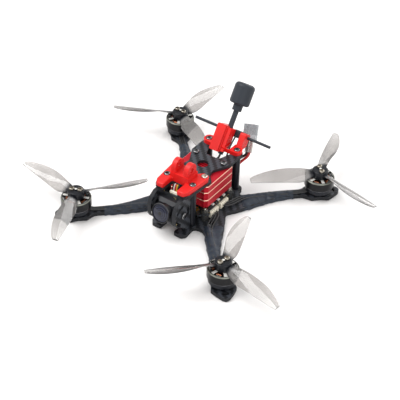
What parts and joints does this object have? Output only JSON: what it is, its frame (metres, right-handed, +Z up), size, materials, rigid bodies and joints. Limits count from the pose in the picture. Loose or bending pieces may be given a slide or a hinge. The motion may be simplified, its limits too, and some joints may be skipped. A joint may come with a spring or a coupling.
{
  "type": "camera quadcopter",
  "caption": "Small carbon-frame camera quadcopter with open propellers, a tilting nose camera, printed mounts, a leaning video antenna and a battery lead.",
  "frame": {"origin": "middle of the frame's four motor axes, on the underside of the base plate", "axes": "+Z up, the camera looks along -Y, +X is the aircraft's own left side"},
  "size_m": [0.194, 0.1912, 0.0666],
  "materials": {
    "carbon_plate": "satin woven carbon laminate",
    "cloth_tape": "blue-black cloth tape",
    "black_anodised": "satin black anodised",
    "red_anodised": "satin red anodised",
    "red_print": "soft printed plastic with layer lines",
    "black_steel": "black oxide",
    "bright_steel": "machined",
    "bearing_steel": "polished",
    "bell_metal": "black anodised with a turned rim",
    "magnet": "nickel plated",
    "stator_iron": "dark laminated sheets",
    "copper": "enamelled copper wire",
    "smoke_plastic": "smoke-clear moulded",
    "lead_black": "silicone wire",
    "lead_red": "silicone wire",
    "circuit_board": "black solder mask",
    "electronic_parts": "mixed chips and sockets",
    "cream_plug": "cream moulded",
    "soft_bush": "soft silicone",
    "camera_plastic": "fine matte",
    "camera_metal": "satin black",
    "lens_glass": "coated",
    "antenna_plastic": "fine matte",
    "clear_sleeve": "clear shrink sleeve",
    "pale_plug": "translucent moulded"
  },
  "bodies": {
    "frame": {"base_plate": "carbon_plate", "top_plate": "carbon_plate", "standoffs": "black_anodised", "base_screws": "black_steel", "top_screws": "black_steel", "wing_screws": "bright_steel", "arm_tapes": "cloth_tape", "motor_leads": "lead_black", "motor_bases": "black_anodised", "motor_bearings": "bearing_steel", "motor_screws": "bright_steel", "motor_stators": "stator_iron", "motor_windings": "copper", "flight_board": "circuit_board", "board_parts": "electronic_parts", "lead_plugs": "cream_plug", "stack_grommets": "soft_bush", "stack_screws": "bright_steel", "transmitter_lower": "red_anodised", "transmitter_board": "circuit_board", "transmitter_middle": "red_anodised", "transmitter_upper": "red_anodised", "transmitter_screws": "black_steel", "receiver_board": "circuit_board", "camera_bracket_left": "carbon_plate", "camera_bracket_right": "carbon_plate", "camera_cable": "lead_black", "front_mount": "red_print", "rear_mount": "red_print", "antenna_stem": "antenna_plastic", "antenna_cap": "antenna_plastic", "video_coax": "lead_black", "receiver_rod": "antenna_plastic", "receiver_coax": "lead_black", "battery_wire_red": "lead_red", "battery_wire_black": "lead_black", "battery_sleeve": "clear_sleeve", "battery_plug": "pale_plug"},
    "camera": {"camera_case": "camera_plastic", "camera_barrel": "camera_metal", "camera_glass": "lens_glass", "camera_board": "circuit_board", "camera_plug": "cream_plug", "camera_screws": "black_steel"},
    "rotor_front_right": {"bell_front_right": "bell_metal", "magnets_front_right": "magnet", "propeller_front_right": "smoke_plastic", "propeller_screws_front_right": "bright_steel"},
    "rotor_rear_right": {"bell_rear_right": "bell_metal", "magnets_rear_right": "magnet", "propeller_rear_right": "smoke_plastic", "propeller_screws_rear_right": "bright_steel"},
    "rotor_rear_left": {"bell_rear_left": "bell_metal", "magnets_rear_left": "magnet", "propeller_rear_left": "smoke_plastic", "propeller_screws_rear_left": "bright_steel"},
    "rotor_front_left": {"bell_front_left": "bell_metal", "magnets_front_left": "magnet", "propeller_front_left": "smoke_plastic", "propeller_screws_front_left": "bright_steel"}
  },
  "joints": [
    {"name": "spin_front_right", "type": "hinge", "parent": "frame", "child": "rotor_front_right", "pos_m": [-0.05303, -0.05303, 0.0105], "axis": [0, 0, 1], "continuous": true},
    {"name": "spin_rear_right", "type": "hinge", "parent": "frame", "child": "rotor_rear_right", "pos_m": [-0.05303, 0.05303, 0.0105], "axis": [0, 0, 1], "continuous": true},
    {"name": "spin_rear_left", "type": "hinge", "parent": "frame", "child": "rotor_rear_left", "pos_m": [0.05303, 0.05303, 0.0105], "axis": [0, 0, 1], "continuous": true},
    {"name": "spin_front_left", "type": "hinge", "parent": "frame", "child": "rotor_front_left", "pos_m": [0.05303, -0.05303, 0.0105], "axis": [0, 0, 1], "continuous": true},
    {"name": "camera_tilt", "type": "hinge", "parent": "frame", "child": "camera", "pos_m": [0, -0.0318, 0.0162], "axis": [-1, 0, 0], "range_deg": [-15, 25], "deforming": ["camera_cable"]}
  ]
}
